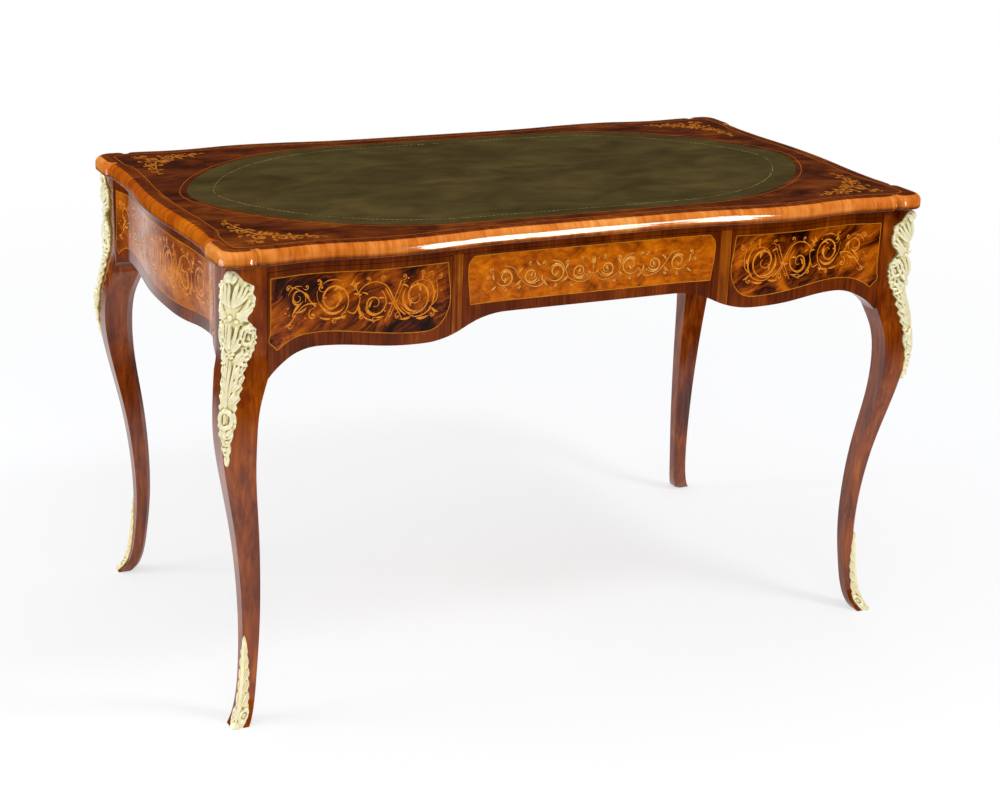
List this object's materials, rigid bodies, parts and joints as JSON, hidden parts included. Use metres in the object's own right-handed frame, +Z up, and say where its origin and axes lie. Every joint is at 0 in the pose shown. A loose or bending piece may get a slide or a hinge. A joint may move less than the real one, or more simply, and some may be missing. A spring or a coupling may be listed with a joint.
{
  "type": "writing table",
  "caption": "Writing table with a tooled leather top, shaped moulded edge, serpentine inlaid frieze with sliding drawers, cabriole legs and gilt corner and toe mounts.",
  "frame": {"origin": "on the floor under the middle of the table", "axes": "+X along the length to the right seen from the front, the front faces -Y, +Z up"},
  "size_m": [1.233, 0.701, 0.76],
  "materials": {
    "core_oak": "plain sawn oak",
    "crossbanding": "polished crossbanded walnut",
    "boxwood_line": "polished boxwood stringing",
    "top_veneer": "polished burr walnut",
    "leather": "tooled leather, mottled olive",
    "moulding": "polished walnut",
    "leg_walnut": "polished walnut with dark bands",
    "frieze_veneer": "polished crossbanded walnut with inlay",
    "centre_veneer": "polished burr walnut with inlay",
    "softwood": "plain pine",
    "drawer_oak": "plain oak lining",
    "gilt_brass": "gilt, chased"
  },
  "bodies": {
    "table": {"top_board": "core_oak", "partition_left": "core_oak", "partition_right": "core_oak", "runners_left": "core_oak", "runners_right": "core_oak", "drawer_kickers": "core_oak", "top_crossbanding": "crossbanding", "edge_stringing": "boxwood_line", "leather_stringing": "boxwood_line", "top_field": "top_veneer", "leather_top": "leather", "moulding_front": "moulding", "moulding_rear": "moulding", "moulding_left": "moulding", "moulding_right": "moulding", "moulding_ear_front_left": "moulding", "moulding_ear_front_right": "moulding", "moulding_ear_rear_left": "moulding", "moulding_ear_rear_right": "moulding", "leg_front_left": "leg_walnut", "leg_front_right": "leg_walnut", "leg_rear_left": "leg_walnut", "leg_rear_right": "leg_walnut", "apron_rear": "frieze_veneer", "apron_left": "frieze_veneer", "apron_right": "frieze_veneer", "front_rail": "frieze_veneer", "stile_left": "frieze_veneer", "stile_right": "frieze_veneer", "glue_blocks": "softwood", "drawer_stops": "softwood", "knee_mount_front_left": "gilt_brass", "knee_mount_front_right": "gilt_brass", "knee_mount_rear_left": "gilt_brass", "knee_mount_rear_right": "gilt_brass", "sabot_front_left": "gilt_brass", "sabot_front_right": "gilt_brass", "sabot_rear_left": "gilt_brass", "sabot_rear_right": "gilt_brass"},
    "left_drawer": {"drawer_left_front": "frieze_veneer", "drawer_left_left_side": "drawer_oak", "drawer_left_right_side": "drawer_oak", "drawer_left_back": "drawer_oak", "drawer_left_bottom": "drawer_oak"},
    "centre_drawer": {"drawer_centre_front": "centre_veneer", "drawer_centre_left_side": "drawer_oak", "drawer_centre_right_side": "drawer_oak", "drawer_centre_back": "drawer_oak", "drawer_centre_bottom": "drawer_oak"},
    "right_drawer": {"drawer_right_front": "frieze_veneer", "drawer_right_left_side": "drawer_oak", "drawer_right_right_side": "drawer_oak", "drawer_right_back": "drawer_oak", "drawer_right_bottom": "drawer_oak"}
  },
  "joints": [
    {"name": "left_drawer_slide", "type": "slide", "parent": "table", "child": "left_drawer", "axis": [0, -1, 0], "range_m": [0, 0.36]},
    {"name": "centre_drawer_slide", "type": "slide", "parent": "table", "child": "centre_drawer", "axis": [0, -1, 0], "range_m": [0, 0.36]},
    {"name": "right_drawer_slide", "type": "slide", "parent": "table", "child": "right_drawer", "axis": [0, -1, 0], "range_m": [0, 0.36]}
  ]
}
